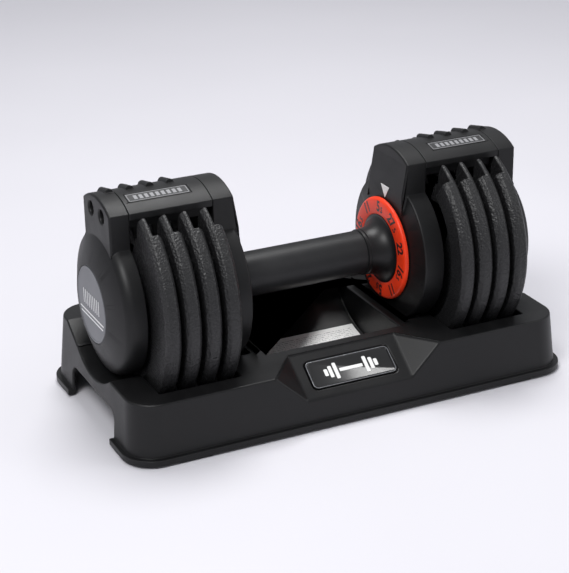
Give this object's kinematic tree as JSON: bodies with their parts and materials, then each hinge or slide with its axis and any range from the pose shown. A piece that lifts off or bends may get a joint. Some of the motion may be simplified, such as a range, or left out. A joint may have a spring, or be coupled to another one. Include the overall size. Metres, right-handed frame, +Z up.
{
  "type": "adjustable dumbbell",
  "caption": "Adjustable dumbbell with a twist handle that picks up iron plates from a moulded storage tray.",
  "frame": {"origin": "centre of the tray on the surface it stands on", "axes": "+X along the handle towards the dial, +Y away from the user, +Z up"},
  "size_m": [0.378, 0.1934, 0.1838],
  "materials": {
    "tray_plastic": "fine moulded grain, soft sheen",
    "rubber_black": "matt rubber",
    "gloss_black": "polished domed plate",
    "sticker_white": "printed matt film",
    "housing_plastic": "fine moulded grain, soft sheen",
    "badge_silver": "finely brushed",
    "label_grey": "matt insert",
    "bar_steel": "black coating",
    "screw_steel": "black zinc",
    "bushing_bronze": "sintered bronze",
    "pointer_white": "printed mark",
    "spring_steel": "bright wire",
    "shaft_steel": "turned steel",
    "grip_coating": "fine diamond knurl, black",
    "hub_plastic": "satin",
    "dial_orange": "satin orange",
    "mark_black": "printed mark",
    "collar_steel": "polished",
    "selector_steel": "stamped steel",
    "slider_plastic": "moulded acetal",
    "plate_iron": "black hammered powder coat"
  },
  "bodies": {
    "tray": {"tray_shell": "tray_plastic", "tray_feet": "rubber_black", "tray_nameplate": "gloss_black", "tray_sticker": "sticker_white"},
    "head_frame": {"left_inner_housing": "housing_plastic", "right_inner_housing": "housing_plastic", "left_housing_back": "housing_plastic", "right_housing_back": "housing_plastic", "left_outer_cap": "housing_plastic", "right_outer_cap": "housing_plastic", "left_cap_badge": "badge_silver", "right_cap_badge": "badge_silver", "left_top_cover": "housing_plastic", "right_top_cover": "housing_plastic", "left_cover_label": "label_grey", "right_cover_label": "label_grey", "left_bridge_bar": "bar_steel", "right_bridge_bar": "bar_steel", "left_tie_screws": "screw_steel", "right_tie_screws": "screw_steel", "left_bushings": "bushing_bronze", "right_bushings": "bushing_bronze", "pointer_mark": "pointer_white", "detent_ball": "spring_steel", "detent_spring": "spring_steel"},
    "handle": {"drive_shaft": "shaft_steel", "handle_tube": "shaft_steel", "handle_grip": "grip_coating", "hub_cone": "hub_plastic", "dial_ring": "dial_orange", "dial_marks": "mark_black", "end_collar": "collar_steel", "index_wheel": "selector_steel", "left_spacers": "shaft_steel", "right_spacers": "shaft_steel", "shaft_nuts": "shaft_steel", "left_disc_1": "selector_steel", "left_disc_2": "selector_steel", "left_disc_3": "selector_steel", "left_disc_4": "selector_steel", "right_disc_1": "selector_steel", "right_disc_2": "selector_steel", "right_disc_3": "selector_steel", "right_disc_4": "selector_steel"},
    "lock": {"lock_slider": "slider_plastic", "lock_spring": "spring_steel"},
    "left_plate_1_body": {"left_plate_1": "plate_iron"},
    "left_plate_2_body": {"left_plate_2": "plate_iron"},
    "left_plate_3_body": {"left_plate_3": "plate_iron"},
    "left_plate_4_body": {"left_plate_4": "plate_iron"},
    "right_plate_1_body": {"right_plate_1": "plate_iron"},
    "right_plate_2_body": {"right_plate_2": "plate_iron"},
    "right_plate_3_body": {"right_plate_3": "plate_iron"},
    "right_plate_4_body": {"right_plate_4": "plate_iron"}
  },
  "joints": [
    {"name": "dumbbell_lift", "type": "slide", "parent": "tray", "child": "head_frame", "axis": [0, 0, 1], "range_m": [0, 0.22]},
    {"name": "handle_turn", "type": "hinge", "parent": "head_frame", "child": "handle", "pos_m": [0, 0, 0.096], "axis": [1, 0, 0], "continuous": true},
    {"name": "lock_slide", "type": "slide", "parent": "head_frame", "child": "lock", "axis": [0, 0, 1], "range_m": [-0.004, 0], "deforming": ["lock_spring"]},
    {"name": "left_plate_1_slide", "type": "slide", "parent": "head_frame", "child": "left_plate_1_body", "axis": [0, 0, 1], "range_m": [-0.22, 0]},
    {"name": "left_plate_2_slide", "type": "slide", "parent": "head_frame", "child": "left_plate_2_body", "axis": [0, 0, 1], "range_m": [-0.22, 0]},
    {"name": "left_plate_3_slide", "type": "slide", "parent": "head_frame", "child": "left_plate_3_body", "axis": [0, 0, 1], "range_m": [-0.22, 0]},
    {"name": "left_plate_4_slide", "type": "slide", "parent": "head_frame", "child": "left_plate_4_body", "axis": [0, 0, 1], "range_m": [-0.22, 0]},
    {"name": "right_plate_1_slide", "type": "slide", "parent": "head_frame", "child": "right_plate_1_body", "axis": [0, 0, 1], "range_m": [-0.22, 0]},
    {"name": "right_plate_2_slide", "type": "slide", "parent": "head_frame", "child": "right_plate_2_body", "axis": [0, 0, 1], "range_m": [-0.22, 0]},
    {"name": "right_plate_3_slide", "type": "slide", "parent": "head_frame", "child": "right_plate_3_body", "axis": [0, 0, 1], "range_m": [-0.22, 0]},
    {"name": "right_plate_4_slide", "type": "slide", "parent": "head_frame", "child": "right_plate_4_body", "axis": [0, 0, 1], "range_m": [-0.22, 0]}
  ],
  "couplings": [
    {"joint": "lock_slide", "follows": "dumbbell_lift", "ratio": -0.018182},
    {"joint": "left_plate_1_slide", "follows": "dumbbell_lift", "ratio": -1},
    {"joint": "left_plate_2_slide", "follows": "dumbbell_lift", "ratio": -1},
    {"joint": "left_plate_3_slide", "follows": "dumbbell_lift", "ratio": -1},
    {"joint": "left_plate_4_slide", "follows": "dumbbell_lift", "ratio": -1},
    {"joint": "right_plate_1_slide", "follows": "dumbbell_lift", "ratio": -1},
    {"joint": "right_plate_2_slide", "follows": "dumbbell_lift", "ratio": -1},
    {"joint": "right_plate_3_slide", "follows": "dumbbell_lift", "ratio": -1},
    {"joint": "right_plate_4_slide", "follows": "dumbbell_lift", "ratio": -1}
  ]
}
